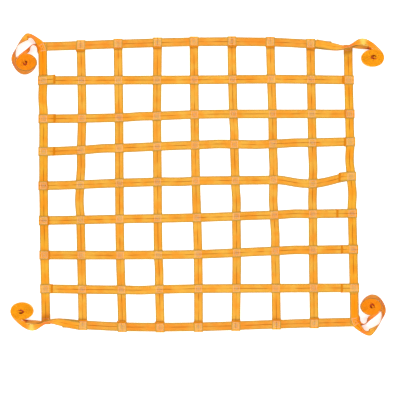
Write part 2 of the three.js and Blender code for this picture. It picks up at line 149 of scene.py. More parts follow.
# A loop's two legs from sewn end to roll: x and y of the strap's lower edge from the corner crossing,
# tilt, lift and tone. Below 0 a tone is a painted highlight on a crest, and above 0 it is painted shade,
# deeper up to the roll's own tone, which paints shade and bounced light between the turns. Before the
# legs come the way the roll turns, its middle and size, the core's shift and half sizes, where the straps
# meet the roll in degrees, its turns, the tones of its outer turn and of the rest, and how far along the
# strap its sewing is.
STANDING = {
    "hand": 1,
    "roll": (-97, -98), "across": 126, "along": 104, "core": (-5.5, -5), "core_size": (11, 14.5),
    "inner_from": 165, "outer_from": -30, "turns": 5.917, "rim": 0.84, "deep": 1.0, "sewn_at": 166.0,
    "outer": [
        (26, -174, 0, 5.9, 0.6), (26, -156, 0, 8.1, 0.7), (26, -120, 0, 8.4, 0.8), (26, -68, 0, 8.4, 0.8),
        (23, -19, 3, 8.4, 0.6), (13, 12, 12, 8.4, 0.7), (-3, 33, 24, 6.5, 0.8), (-28, 51, 50, 2.5, 0.84),
        (-54, 67, 62, 0, 0.84), (-78, 78, 46, 0, 0.6), (-99, 79, 29, 0, 0.2), (-118, 63, 36, 0, 0.0),
        (-139, 33, 62, 0, 0.0), (-154, 8, 79, 0, 0.3), (-164, -13, 80, 0, 0.6), (-181, -40, 64, 0, 0.84),
        (-191, -66, 50, 0, 0.84), (-189, -95, 54, 0, 0.84), (-176, -124, 64, 0, 0.8),
        (-157, -150, 64.5, 0, 0.3), (-133, -167, 61, 0, 0.1), (-103, -171, 64, 0, 0.1),
        (-72, -158, 76, 0, 0.3), (-48, -134, 88, 0, 0.8),
    ],
    "inner": [
        (26, -150, 0, 5.6, 0.8), (26, -120, 0, 5.6, 0.8), (26, -71, 0, 5.6, 0.8), (21, -38, 3, 5.6, 0.8),
        (8, -10, 12, 5.6, 0.8), (-12, 10, 38, 5.6, 0.8), (-32, 15, 62, 5.2, 0.8), (-51, 15, 76, 2, 0.8),
        (-66, 10, 79, 0, 0.8), (-78, 1, 76, 0, 0.84), (-96, -15, 58, 0, 0.9), (-121, -34, 61, 0, 1),
        (-145, -54, 74, 0, 1), (-157, -69, 88, 0, 1),
    ],
}
TRAILING = {
    "hand": -1,
    "roll": (147, -74), "across": 143, "along": 106, "core": (6, 5), "core_size": (15, 11),
    "inner_from": 92, "outer_from": -45, "turns": 6.261, "rim": 2.0, "deep": 2.0, "sewn_at": 45.0,
    "outer": [
        (-193, 41.5, 0, 8.4, 0.3), (-131, 30, 6, 8.4, 0.3), (-76, 15.5, 26, 7.6, 0.3), (-34, 5, 54, 3, 0.3),
        (-3, 3, 70, 3, 0.6), (24, 17, 58, 2, 0.8), (43, 30, 42, 0, 0.6), (61, 41, 36, 0, -0.1),
        (85, 47, 34, 0, -0.7), (110, 43, 36, 0, -0.5), (135, 31, 42, 0, 0.8), (164, 10, 48, 0, 1.2),
        (189, -14, 62, 0, 1.4), (210, -38, 72, 0, 1.5), (219, -66, 82, 0, 1.8), (213, -92, 88, 0, 2.0),
    ],
    "inner": [
        (-182, 38.6, 0, 5.6, 0.8), (-131, 27, 6, 5.6, 0.8), (-76, 13, 26, 5.2, 0.8), (-34, -1, 56, 3, 0.8),
        (-3, -8, 78, 3, 0.4), (22, -11, 98, 4, 0.0), (48, -14, 112, 0, -0.3), (73, -17, 117, 0, -0.4),
        (92, -17, 113, 0, -0.5), (116, -19, 112, 0, -0.6), (133, -21, 100, 0, 2),
    ],
}
# Corner name, loop form, upright, cross strap, half turn, shift of where it lies.
LOOPS = [
    ("top_left", STANDING, 0, 0, False, (0, 0)),
    ("top_right", TRAILING, LAST, 0, False, (0, 0)),
    ("bottom_right", STANDING, LAST, LAST, True, (0, -3)),
    ("bottom_left", TRAILING, 0, LAST, True, (4, 0)),
]


# Materials.
class Nodes:
    """Short hands for laying out a material's nodes."""

    def __init__(self, name):
        self.material = bpy.data.materials.new(name)
        self.material.use_nodes = True
        self.tree = self.material.node_tree
        self.shader = self.tree.nodes["Principled BSDF"]

    def add(self, kind):
        return self.tree.nodes.new(kind)

    def put(self, value, socket):
        if isinstance(value, bpy.types.NodeSocket):
            self.tree.links.new(value, socket)
        else:
            socket.default_value = value

    def surface(self, **values):
        """Sets the shader's inputs, named with _ for each space."""
        for name, value in values.items():
            self.put(value, self.shader.inputs[name.replace("_", " ")])

    def place(self):
        return self.add("ShaderNodeTexCoord").outputs["Object"]

    def kept(self, name):
        """A number that the mesh keeps at each point."""
        node = self.add("ShaderNodeAttribute")
        node.attribute_name = name
        return node.outputs["Fac"]

    def split(self, vector):
        node = self.add("ShaderNodeSeparateXYZ")
        self.put(vector, node.inputs[0])
        return node.outputs

    def math(self, kind, first, second=0.0, third=0.0):
        node = self.add("ShaderNodeMath")
        node.operation = kind
        for value, socket in zip((first, second, third), node.inputs):
            self.put(value, socket)
        return node.outputs[0]

    def times(self, first, second):
        return self.math("MULTIPLY", first, second)

    def rest(self, share):
        return self.math("SUBTRACT", 1.0, share)

    def wave(self, turn):
        """From 0 to 1 and back, once in each turn."""
        return self.math("MULTIPLY_ADD", self.math("SINE", turn), 0.5, 0.5)

    def band(self, value, low, high):
        """0 up to low, 1 from high, smooth between."""
        node = self.add("ShaderNodeMapRange")
        node.interpolation_type = "SMOOTHSTEP"
        self.put(value, node.inputs["Value"])
        node.inputs["From Min"].default_value = low
        node.inputs["From Max"].default_value = high
        return node.outputs["Result"]

    def noise(self, vector, scale, detail):
        node = self.add("ShaderNodeTexNoise")
        self.put(vector, node.inputs["Vector"])
        node.inputs["Scale"].default_value = scale
        node.inputs["Detail"].default_value = detail
        return node.outputs["Fac"]

    def blend(self, share, under, over, kind="MIX"):
        node = self.add("ShaderNodeMix")
        node.data_type = "RGBA"
        node.blend_type = kind
        self.put(share, node.inputs["Factor"])
        self.put(under, node.inputs[6])
        self.put(over, node.inputs[7])
        return node.outputs[2]

    def bump(self, height, strength, distance):
        node = self.add("ShaderNodeBump")
        node.inputs["Strength"].default_value = strength
        node.inputs["Distance"].default_value = distance
        self.put(height, node.inputs["Height"])
        return node.outputs["Normal"]


# The weave in metres: pitch of its ribs across and along the strap, and of its picks. Yarns streak the
# colour quickly across the strap and slowly along it.
RIB_ACROSS = 0.0024
RIB_ALONG = 0.0034
PICK_PITCH = 0.0017
PICK_SHARE = 0.35
STREAKS_ACROSS = 420.0
STREAKS_ALONG = 7.0
# Marks in metres: the middle line's half width and how far it wanders, where the painted shade along the
# edges starts and is full in from the edge, how far a cut end is sealed, and how far the seal wanders.
LINE_HALF = (0.0016, 0.0024)
LINE_WANDER = 0.004
EDGE_SHADE_REACH = (0.0105, 0.003)
SEAL_LENGTH = (0.012, 0.019)
SEAL_WANDER = 0.004
# An end that isn't sealed counts as this many metres further off.
UNSEALED = 1.0
# Shares of the darker shade in patches and streaks, of painted shade in the weave's hollows, of the marks,
# and of the seal.
PATCH_SHARE = 0.5
STREAK_SHARE = 0.35
HOLLOW_SHADE_SHARE = 0.3
MARK_SHARE = 0.95
SEAL_SHARE = 0.92
# The legs' deepest tone of painted shade, the tone up to which marks show in full, and the tone from
# which webbing counts as wound.
LEG_TONE = 0.84
MARKED_TONE = 0.85
WOUND_TONE = 1.0
# How far a face's normal points up where it counts as steep and gets painted shade, and where it counts as
# lying.
STEEP_UP_TO = 0.35
LYING_FROM = 0.8

# Colour drift along the straps, and the marks' colours.
RUDDY = (1.0, 0.86, 0.70, 1)
SUNNY = (0.97, 1.11, 1.40, 1)
LINE = (0.42, 0.105, 0.002, 1)
PAINTED_EDGE_SHADE = (0.50, 0.27, 0.04, 1)
SEALED = (0.63, 0.185, 0.001, 1)
# Colours, one for each whole tone: the borders' tint their webbing, and the loops' cover it as painted
# shade and bounce light, on the legs and the roll's turns.
SIDE_BORDER = ((1.03, 1.0, 0.6, 1),)
END_BORDER = ((0.97, 0.85, 0.86, 1),)
PAINTED_LOOP_SHADE = ((1.0, 0.265, 0.004, 1), (1.0, 0.345, 0.005, 1))
# A loop's painted highlight where its tone is below 0, and the painted shade of its steep faces.
PAINTED_HIGHLIGHT = (0.92, 0.62, 0.12, 1)
PAINTED_STEEP_SHADE = (0.72, 0.55, 0.25, 1)
# Gloss of the grid's and the loops' webbing, and its tint.
STRAP_GLOSS = 0.3
LOOP_GLOSS = 0.08
GLOSS_TINT = (1.0, 0.80, 0.35, 1)


def webbing_material(name, body, shade, gloss, dyes_and_shades, wound=False):
    """Woven webbing: chevron weave with painted shade in its hollows, streaky yarns, a darker middle line,
    painted shade along its edges, and sealed cut ends. The tone that its mesh keeps leads through the
    colours
    given: a tint on the borders, and on a loop painted shade and bounce light, with a painted highlight
    below tone 0 and painted shade on steep faces."""
    n = Nodes(name)
    uv = n.add("ShaderNodeUVMap")
    uv.uv_map = "webbing"
    across, along = n.split(uv.outputs["UV"])[:2]
    place = n.place()
    half_width = STRAP_WIDTH * MM / 2
    off_middle = n.math("ABSOLUTE", n.math("SUBTRACT", across, half_width))
    wander = n.math("MULTIPLY_ADD", n.noise(place, scale=6.0, detail=1.0), LINE_WANDER, -LINE_WANDER / 2)
    off_line = n.math("ABSOLUTE", n.math("SUBTRACT", n.math("ADD", across, wander), half_width))

    # Chevron ribs, mirrored about the middle, crossed by the picks.
    rib_run = n.times(along, 2 * math.pi / RIB_ALONG)
    ribs = n.wave(n.math("MULTIPLY_ADD", off_middle, 2 * math.pi / RIB_ACROSS, rib_run))
    picks = n.wave(n.times(along, 2 * math.pi / PICK_PITCH))
    weave = n.math("MULTIPLY_ADD", picks, PICK_SHARE, n.times(ribs, 1 - PICK_SHARE))

    # Yarns run lengthwise, so colour drifts slowly along the strap and quickly across it.
    stretch = n.add("ShaderNodeCombineXYZ")
    n.put(n.times(across, STREAKS_ACROSS), stretch.inputs[0])
    n.put(n.times(along, STREAKS_ALONG), stretch.inputs[1])
    streak = n.noise(stretch.outputs[0], scale=1.0, detail=2.0)
    patch = n.noise(place, scale=5.0, detail=2.0)
    colour = n.blend(n.times(n.band(patch, low=0.35, high=0.7), PATCH_SHARE), body, shade)
    colour = n.blend(n.times(n.band(streak, low=0.45, high=0.75), STREAK_SHARE), colour, shade)
    # Painted shade in the weave's hollows.
    colour = n.blend(n.times(n.rest(weave), HOLLOW_SHADE_SHARE), colour, shade)
    drift = n.band(n.noise(place, scale=13.0, detail=2.0), low=0.36, high=0.64)
    colour = n.blend(1.0, colour, n.blend(drift, RUDDY, SUNNY), "MULTIPLY")
    tone = n.kept("tone")
    # On a loop these colours are painted shade and bounce light.
    for step, deeper in enumerate(dyes_and_shades):
        colour = n.blend(n.band(tone, step, step + 1.0), colour, deeper, "MIX" if wound else "MULTIPLY")

    # The marks don't show on the upper edges of a roll's turns.
    shown = MARK_SHARE
    if wound:
        normal = n.add("ShaderNodeNewGeometry").outputs["Normal"]
        lying = n.band(n.math("ABSOLUTE", n.split(normal)["Z"]), STEEP_UP_TO, LYING_FROM)
        hidden = n.times(n.band(tone, MARKED_TONE, WOUND_TONE), lying)
        shown = n.math("SUBTRACT", MARK_SHARE, hidden)
    in_line = n.rest(n.band(off_line, *LINE_HALF))
    broken = n.band(n.noise(place, scale=10.0, detail=1.0), low=0.38, high=0.6)
    drawn = n.math("MULTIPLY_ADD", broken, 0.75, 0.25)
    colour = n.blend(n.times(n.times(in_line, drawn), shown), colour, LINE)
    # Painted shade along the webbing's edges.
    edge_shade = n.band(off_middle, half_width - EDGE_SHADE_REACH[0], half_width - EDGE_SHADE_REACH[1])
    colour = n.blend(n.times(edge_shade, shown), colour, PAINTED_EDGE_SHADE)
    ragged = n.math("MULTIPLY_ADD", streak, SEAL_WANDER, n.kept("from_cut"))
    melted = n.rest(n.band(ragged, *SEAL_LENGTH))
    colour = n.blend(n.times(melted, SEAL_SHARE), colour, SEALED)

    if wound:
        # Painted highlight where the tone is below 0.
        colour = n.blend(n.band(n.times(tone, -1.0), 0.0, 1.0), colour, PAINTED_HIGHLIGHT)
        # Painted shade on steep faces, except where they lie or are wound.
        unshaded = n.math("MAXIMUM", lying, n.band(tone, LEG_TONE, WOUND_TONE))
        colour = n.blend(unshaded, n.blend(1.0, colour, PAINTED_STEEP_SHADE, "MULTIPLY"), colour)
    rough = n.math("MULTIPLY_ADD", weave, 0.18, 0.36)
    n.surface(
        Base_Color=colour,
        Roughness=n.math("MULTIPLY_ADD", melted, -0.2, rough),
        Specular_IOR_Level=gloss,
        Specular_Tint=GLOSS_TINT,
        Normal=n.bump(weave, strength=0.5, distance=0.0004),
    )
    return n.material


def thread_material(name, body, shade):
    """Heavy bonded thread, slightly fuzzy."""
    n = Nodes(name)
    ply = n.noise(n.place(), scale=900.0, detail=2.0)
    n.surface(
        Base_Color=n.blend(n.band(ply, low=0.35, high=0.7), body, shade),
        Roughness=n.math("MULTIPLY_ADD", ply, 0.2, 0.55),
        Specular_IOR_Level=0.3,
        Sheen_Weight=0.1,
        Normal=n.bump(ply, strength=0.3, distance=0.0002),
    )
    return n.material


upright_webbing = webbing_material(
    "upright_webbing", (0.82, 0.36, 0.036, 1), (0.73, 0.29, 0.020, 1), STRAP_GLOSS, SIDE_BORDER)
cross_webbing = webbing_material(
    "cross_webbing", (0.82, 0.365, 0.037, 1), (0.74, 0.295, 0.022, 1), STRAP_GLOSS, END_BORDER)
loop_webbing = webbing_material(
    "loop_webbing", (0.86, 0.37, 0.035, 1), (0.80, 0.32, 0.022, 1), LOOP_GLOSS, PAINTED_LOOP_SHADE, wound=True)
pale_thread = thread_material("pale_thread", (0.90, 0.54, 0.31, 1), (0.80, 0.42, 0.21, 1))
grey_thread = thread_material("grey_thread", (0.60, 0.44, 0.34, 1), (0.50, 0.34, 0.24, 1))
orange_thread = thread_material("orange_thread", (0.70, 0.24, 0.012, 1), (0.55, 0.17, 0.006, 1))


# Camera, floor and light, in metres. The camera stands far above the net, square to the floor.
EYE = (0.01086, -0.09449, 12.0)
FIELD_WIDTH = 2.44
SENSOR_WIDTH = 36.0
VIEW_END = 200.0
WHITE = (1, 1, 1, 1)
FLOOR_GREY = (0.9, 0.9, 0.9, 1)
FLOOR_REACH = 40.0
FLOOR_DROP = 0.0004
# How strongly the floor glows in the open and inside a roll's core, where its dimmer, ruddy glow is
# painted shade and painted bounce light off the webbing, and how far round a core's middle.
FLOOR_GLOW = 0.58
CORE_GLOW = 0.3
PAINTED_CORE_BOUNCE = (1.0, 0.10, 0.01, 1)
CORE_RADIUS = (0.035, 0.06)
# The room's light at the net's ends and on its long sides, then where a dim patch overhead starts and
# is full, and its share of light.
ROOM_LOW = 0.11
ROOM_HIGH = 0.47
ZENITH_FROM = 0.88
ZENITH_FULL = 0.97
ZENITH_LIGHT = 0.35
# Soft boxes on both long sides: name, how far out, how high, how far out they aim, width, depth, watts.
SOFT_BOXES = (("low", 6.0, 2.5, 0.3, 6.0, 1.4, 135), ("high", 4.0, 5.0, 0.0, 4.5, 1.8, 190))


def overhead_camera():
    lens = bpy.data.cameras.new("overhead_camera")
    lens.sensor_width = SENSOR_WIDTH
    lens.lens = SENSOR_WIDTH * EYE[2] / FIELD_WIDTH
    lens.clip_end = VIEW_END
    eye = bpy.data.objects.new("overhead_camera", lens)
    eye.location = EYE
    scene.collection.objects.link(eye)
    scene.camera = eye


def pale_floor(cores):
    """A pale floor that glows a little, dimmer and ruddy in the rolls' cores with painted shade and painted
    bounce light.
    """
    mesh = bpy.data.meshes.new("studio_floor")
    corners = [(x * FLOOR_REACH, y * FLOOR_REACH, 0) for x, y in ((-1, -1), (1, -1), (1, 1), (-1, 1))]
    mesh.from_pydata(corners, [], [(0, 1, 2, 3)])
    floor = bpy.data.objects.new("studio_floor", mesh)
    floor.location = (0, 0, -FLOOR_DROP)
    scene.collection.objects.link(floor)
    n = Nodes("pale_floor")
    place = n.place()
    open_floor = 1.0
    # Round each core the glow is dimmer and ruddy: painted shade and painted bounce light.
    for x, y in cores:
        away = n.add("ShaderNodeVectorMath")
        away.operation = "DISTANCE"
        n.put(place, away.inputs[0])
        away.inputs[1].default_value = (x, y, 0)
        open_floor = n.times(n.band(away.outputs["Value"], *CORE_RADIUS), open_floor)
    n.surface(
        Emission_Strength=n.math("MULTIPLY_ADD", open_floor, FLOOR_GLOW - CORE_GLOW, CORE_GLOW),
        Emission_Color=n.blend(open_floor, PAINTED_CORE_BOUNCE, WHITE),
        Base_Color=FLOOR_GREY,
        Roughness=0.9,
        Specular_IOR_Level=0.1,
    )
    mesh.materials.append(n.material)


def studio_room():
    """Light from all round, stronger from the long sides and above, with a dim patch straight overhead."""
    sky = bpy.data.worlds.new("studio_room")
    scene.world = sky
    sky.use_nodes = True
    add, link = sky.node_tree.nodes.new, sky.node_tree.links.new
    way = add("ShaderNodeSeparateXYZ")
    link(add("ShaderNodeTexCoord").outputs["Generated"], way.inputs[0])
    sides = add("ShaderNodeMath")
    sides.operation = "MULTIPLY_ADD"
    for axis, socket in zip(("Y", "Y", "Z"), sides.inputs):
        link(way.outputs[axis], socket)
    level = add("ShaderNodeMapRange")
    level.inputs["From Max"].default_value = 1.0
    level.inputs["To Min"].default_value = ROOM_LOW
    level.inputs["To Max"].default_value = ROOM_HIGH
    link(sides.outputs[0], level.inputs["Value"])
    zenith = add("ShaderNodeMapRange")
    zenith.interpolation_type = "SMOOTHSTEP"
    zenith.inputs["From Min"].default_value = ZENITH_FROM
    zenith.inputs["From Max"].default_value = ZENITH_FULL
    zenith.inputs["To Min"].default_value = 1.0
    zenith.inputs["To Max"].default_value = ZENITH_LIGHT
    link(way.outputs["Z"], zenith.inputs["Value"])
    strength = add("ShaderNodeMath")
    strength.operation = "MULTIPLY"
    link(level.outputs["Result"], strength.inputs[0])
    link(zenith.outputs["Result"], strength.inputs[1])
    background = sky.node_tree.nodes["Background"]
    link(strength.outputs[0], background.inputs["Strength"])
    background.inputs["Color"].default_value = WHITE
    scene.view_settings.view_transform = "Standard"
    scene.view_settings.look = "None"


def soft_box(name, place, aim, width, depth, watts):
    lamp = bpy.data.lights.new(name, "AREA")
    lamp.shape = "RECTANGLE"
    lamp.size = width
    lamp.size_y = depth
    lamp.energy = watts
    box = bpy.data.objects.new(name, lamp)
    box.location = place
    towards = [a - p for a, p in zip(aim, place)]
    flat = math.hypot(towards[0], towards[1])
    box.rotation_euler = (math.atan2(flat, -towards[2]), 0, math.atan2(-towards[0], towards[1]))
    scene.collection.objects.link(box)


def soft_boxes():
    for name, side in (("far", 1), ("near", -1)):
        for level, out, height, aim, width, depth, watts in SOFT_BOXES:
            place = (0.0, side * out, height)
            soft_box(f"{level}_soft_box_{name}", place, (0, side * aim, 0), width, depth, watts)


# Shapes of the laid straps.
def smooth_between(a, b, c, d, part):
    """A smooth curve through four values, between the second and the third."""
    bow = (2 * a - 5 * b + 4 * c - d) * part * part
    turn = (3 * b - 3 * c + d - a) * part ** 3
    return 0.5 * (2 * b + (c - a) * part + bow + turn)


def smooth_along(values, fraction):
    last = len(values) - 1
    place = min(max(fraction, 0.0), 1.0) * last
    first = min(int(place), last - 1)
    picked = [values[min(max(first + k, 0), last)] for k in (-1, 0, 1, 2)]
    return smooth_between(*picked, place - first)


def bowed(bows, index, place):
    """How far a strap bows aside at a place counted in spans from its first crossing."""
    span = math.floor(place)
    return bows.get((index, span), 0.0) * math.sin(math.pi * (place - span)) ** 2


def upright_x(index, y):
    off = (y - SWING_AT) / SWING_REACH
    wave = math.sin(math.pi * off) if index == SWING_UPRIGHT and abs(off) < 1 else 0.0
    shift = smooth_along(UPRIGHTS[index][0], 0.5 - y / (LAST * CROSS_PITCH))
    even = (index - MIDDLE) * UPRIGHT_PITCH + shift
    return even - SWING_DEPTH * wave * abs(wave) + bowed(UPRIGHT_BOWS, index, MIDDLE - y / CROSS_PITCH)


def cross_y(index, x):
    off = abs(x - SAG_AT) / SAG_REACH
    sag = SAG_DEPTH * (0.5 + 0.5 * math.cos(math.pi * off)) if index == SAG_CROSS and off < 1 else 0.0
    shift = smooth_along(CROSSES[index][0], 0.5 + x / (LAST * UPRIGHT_PITCH))
    bow = bowed(CROSS_BOWS, index, MIDDLE + x / UPRIGHT_PITCH)
    return (MIDDLE - index) * CROSS_PITCH + shift - sag + bow


def border_y(index, x):
    """The top border bends in by its right end and the bottom border by its left end, below the loops."""
    way = {0: 1.0, LAST: -1.0}.get(index, 0.0)
    return cross_y(index, x) - way * BEND_DEPTH * ease((way * x - BEND_FROM) / BEND_OVER)


def crossing(upright, cross):
    x = (upright - MIDDLE) * UPRIGHT_PITCH
    y = cross_y(cross, x)
    for _ in range(SETTLING_ROUNDS):
        x = upright_x(upright, y)
        y = cross_y(cross, x)
    return x, y


def layer_height(layer):
    return STRAP_THICK / 2 + layer * LAYER


def ease(value):
    value = min(max(value, 0.0), 1.0)
    return value * value * (3 - 2 * value)


def lifted(run, crossed, held_up):
    """How many layers up a strap lies. It rises over straps that it crosses and may stay up a while."""
    if held_up and held_up[0] <= run <= held_up[1]:
        return 1.0
    nearest = min(abs(run - at) for at in crossed) if crossed else CROSSING_FOOT
    return ease((CROSSING_FOOT - nearest) / (CROSSING_FOOT - CROSSING_LEVEL))


def main_length(start, end, crossed=(), held_up=None):
    """Stations along a strap: place along it, height, and shift aside."""
    count = math.ceil(abs(end - start) / STATION)
    runs = np.linspace(start, end, count + 1)
    return [(run, layer_height(lifted(run, crossed, held_up)), 0.0) for run in runs]


def folded_end(border, inward, tail, lean):
    """Stations from a tail's cut end, over the border strap and round its edge, to the length below it."""
    stations = []
    count = math.ceil((tail + FOLD_OUT) / TAIL_STATION)
    sinks = tail > TAIL_LEVEL + TAIL_SINK + TAIL_ROOM
    for k in range(count):
        distance = tail - (tail + FOLD_OUT) * k / count
        layer = 2.0 - (ease((distance - TAIL_LEVEL) / TAIL_SINK) if sinks else 0.0)
        shift = lean * (distance + FOLD_OUT) / (tail + FOLD_OUT)
        stations.append((border + inward * distance, layer_height(layer), shift))
    for step in range(FOLD_STEPS):
        angle = math.pi * step / FOLD_STEPS
        out = FOLD_OUT + LAYER * math.sin(angle)
        stations.append((border - inward * out, layer_height(1) + LAYER * math.cos(angle), 0.0))
    return stations


def section_ring(width):
    """The webbing's section: across from its middle, and through it, with rounded selvedges."""
    half = width / 2
    edge = [(half - inset, thick) for inset, thick in SELVEDGE_ROUND] + [(FLAT_HALF, STRAP_THICK / 2)]
    top = edge + [(-a, t) for a, t in reversed(edge)]
    return np.array([(half, 0.0)] + top + [(-half, 0.0)] + [(a, -t) for a, t in reversed(top)])


def unit(rows):
    return rows / np.linalg.norm(rows, axis=1)[:, None]


def headings(points):
    ahead = np.vstack([points[1:], points[-1:]])
    behind = np.vstack([points[:1], points[:-1]])
    return unit(ahead - behind)


def run_along(middles):
    """How far along its middle line each station is."""
    steps = np.linalg.norm(np.diff(middles, axis=0), axis=1)
    return np.concatenate([[0.0], np.cumsum(steps)])


def webbing_faces(stations, sides):
    """The skin between stations, and the two cut ends last."""
    faces = []
    for k in range(stations - 1):
        here = k * sides
        ahead = here + sides
        for side in range(sides):
            after = (side + 1) % sides
            faces.append((here + side, here + after, ahead + after, ahead + side))
    faces.append(tuple(reversed(range(sides))))
    faces.append(tuple(range((stations - 1) * sides, stations * sides)))
    return faces


def keep(mesh, name, values):
    """Keeps a number at each point of a mesh, for its material."""
    kept = mesh.attributes.new(name, "FLOAT", "POINT")
    kept.data.foreach_set("value", values.astype(np.float32))


def webbing_piece(name, route, width, material, tone, sealed):
    """One length of webbing as a closed mesh, from its middle line and the directions across and through
    it, in mm. It keeps the tone of each station, and how far it lies from a sealed end."""
    middles, across, through = route
    ring = section_ring(width)
    sides = len(ring)
    stations = len(middles)
    points = middles[:, None, :] + across[:, None, :] * ring[None, :, :1]
    points = points + through[:, None, :] * ring[None, :, 1:]
    points = (points.reshape(-1, 3) + OUTLINE_SHIFT) * MM
    along = run_along(middles) * MM
    faces = webbing_faces(stations, sides)
    first, second, third = points[0], points[1], points[sides + 1]
    outward = np.dot(np.cross(second - first, third - first), first - (middles[0] + OUTLINE_SHIFT) * MM)
    if outward < 0:
        faces = [tuple(reversed(face)) for face in faces]
    mesh = bpy.data.meshes.new(name)
    mesh.from_pydata(points.tolist(), [], faces)
    smooth = np.ones(len(faces), bool)
    smooth[-2:] = False
    mesh.polygons.foreach_set("use_smooth", smooth)
    corner_of = np.zeros(len(mesh.loops), np.int32)
    mesh.loops.foreach_get("vertex_index", corner_of)
    u = np.tile((ring[:, 0] / width + 0.5) * STRAP_WIDTH * MM, stations)
    v = np.repeat(along, sides)
    layer = mesh.uv_layers.new(name="webbing")
    layer.data.foreach_set("uv", np.column_stack([u, v])[corner_of].astype(np.float32).ravel())
    keep(mesh, "from_cut", np.minimum(v, along[-1] - v) + (0.0 if sealed else UNSEALED))
    keep(mesh, "tone", np.repeat(np.broadcast_to(tone, stations), sides))
    mesh.materials.append(material)
    mesh.update()
    piece = bpy.data.objects.new(name, mesh)
    scene.collection.objects.link(piece)
    return piece, along[-1]


def laid_route(stations, side_at, turned):
    """Middle line and directions of a strap laid along x, or along y where turned."""
    run, height, shift = np.array(stations).T
    side = np.array([side_at(r) for r in run]) + shift
    flat = headings(np.column_stack([run, height]))
    zero, one = np.zeros(len(run)), np.ones(len(run))
    if turned:
        middles = np.column_stack([side, run, height])
        return middles, np.column_stack([one, zero, zero]), np.column_stack([zero, -flat[:, 1], flat[:, 0]])
    middles = np.column_stack([run, side, height])
    return middles, np.column_stack([zero, one, zero]), np.column_stack([-flat[:, 1], zero, flat[:, 0]])


def cross_route(index):
    left, right = crossing(0, index)[0], crossing(LAST, index)[0]
    crossed = [crossing(upright, index)[0] for upright in range(1, LAST)]
    if index == 0:
        held_up = (crossed[-1], right)
        stations = main_length(left - BORDER_OVERHANG, right - CROSS_UNDER_LOOP, crossed, held_up)
    elif index == LAST:
        held_up = (left, crossed[0])
        stations = main_length(left + CROSS_UNDER_LOOP, right + BORDER_OVERHANG, crossed, held_up)
    else:
        _, left_tail, left_lean, right_tail, right_lean = CROSSES[index]
        stations = folded_end(left, 1, left_tail, left_lean)
        stations += main_length(left - FOLD_OUT, right + FOLD_OUT, crossed)
        stations += reversed(folded_end(right, -1, right_tail, right_lean))
    return laid_route(stations, lambda run: border_y(index, run), False)


def upright_route(index):
    bottom, top = crossing(index, LAST)[1], crossing(index, 0)[1]
    crossed = [crossing(index, cross)[1] for cross in range(LAST - 1, 0, -1)]
    if index == 0:
        end = top + BORDER_OVERHANG
        stations = main_length(bottom - UPRIGHT_UNDER_LOOP, end, crossed, (crossed[-1], end))
    elif index == LAST:
        start = bottom - BORDER_OVERHANG
        stations = main_length(start, top + UPRIGHT_UNDER_LOOP, crossed, (start, crossed[0]))
    else:
        _, top_tail, top_lean, bottom_tail, bottom_lean = UPRIGHTS[index]
        stations = folded_end(bottom, 1, bottom_tail, bottom_lean)
        stations += main_length(bottom - FOLD_OUT, top + FOLD_OUT)
        stations += reversed(folded_end(top, -1, top_tail, top_lean))
    return laid_route(stations, lambda run: upright_x(index, run), True)


# Shapes of the rolled loops.
def smooth_rows(rows, step):
    """Points close together on a smooth curve through rows of x, y, tilt, lift, tone and thickness.
    Its knots are spaced by the square root of the way between two rows."""
    rows = np.array(rows, float)
    rows = np.vstack([2 * rows[0] - rows[1], rows, 2 * rows[-1] - rows[-2]])
    found = []
    for k in range(1, len(rows) - 2):
        a, b, c, d = rows[k - 1:k + 3]
        knots = [0.0]
        for start, end in ((a, b), (b, c), (c, d)):
            knots.append(knots[-1] + max(np.linalg.norm(end[:2] - start[:2]), 0.01) ** 0.5)
        count = max(1, math.ceil(np.linalg.norm(c[:2] - b[:2]) / step))
        for t in np.linspace(knots[1], knots[2], count, endpoint=False):
            ab = a + (b - a) * (t - knots[0]) / (knots[1] - knots[0])
            bc = b + (c - b) * (t - knots[1]) / (knots[2] - knots[1])
            cd = c + (d - c) * (t - knots[2]) / (knots[3] - knots[2])
            low = ab + (bc - ab) * (t - knots[0]) / (knots[2] - knots[0])
            high = bc + (cd - bc) * (t - knots[1]) / (knots[3] - knots[1])
            found.append(low + (high - low) * (t - knots[1]) / (knots[2] - knots[1]))
    found.append(rows[-2])
    return np.array(found)


def roll_place(form, wound):
    """Inner strap's place in plan after so many degrees wound, and the way outwards there."""
    share = wound / (FULL_TURN * form["turns"])
    middle = np.array(form["roll"], float) + np.array(form["core"], float) * share
    rim = np.array([form["across"] / 2, form["along"] / 2]) - STRAP_THICK / 2
    reach = rim + (np.array(form["core_size"], float) + STRAP_THICK / 2 - rim) * share
    angle = math.radians(form["inner_from"] + form["hand"] * wound)
    spoke = np.array([math.cos(angle), math.sin(angle)])
    out = spoke / reach
    return middle + reach * spoke, out / np.linalg.norm(out)


def strap_room(form, wound):
    """Half the way from a turn to the next one inside it: the room each of the two straps has there."""
    place, out = roll_place(form, wound)
    inside, _ = roll_place(form, wound + FULL_TURN)
    return max(np.dot(place - inside, out) / 2, LAYER - LAYER_GAP)


def edge_height(wound):
    """Turns of a roll don't stand quite level: how far one is off the floor, in two slow waves."""
    turn = math.radians(wound)
    return 0.5 + 0.35 * math.sin(0.31 * turn + 0.8) + 0.15 * math.sin(1.7 * turn)


def drawn_in(form, wound):
    """How far the last turn's lower edge is drawn in, to stand like a funnel, and its tilt there."""
    inward = FUNNEL * ease((wound - FULL_TURN * (form["turns"] - 1.0)) / FUNNEL_OVER)
    return inward, 90.0 + math.degrees(math.asin(inward / LOOP_WIDTH))


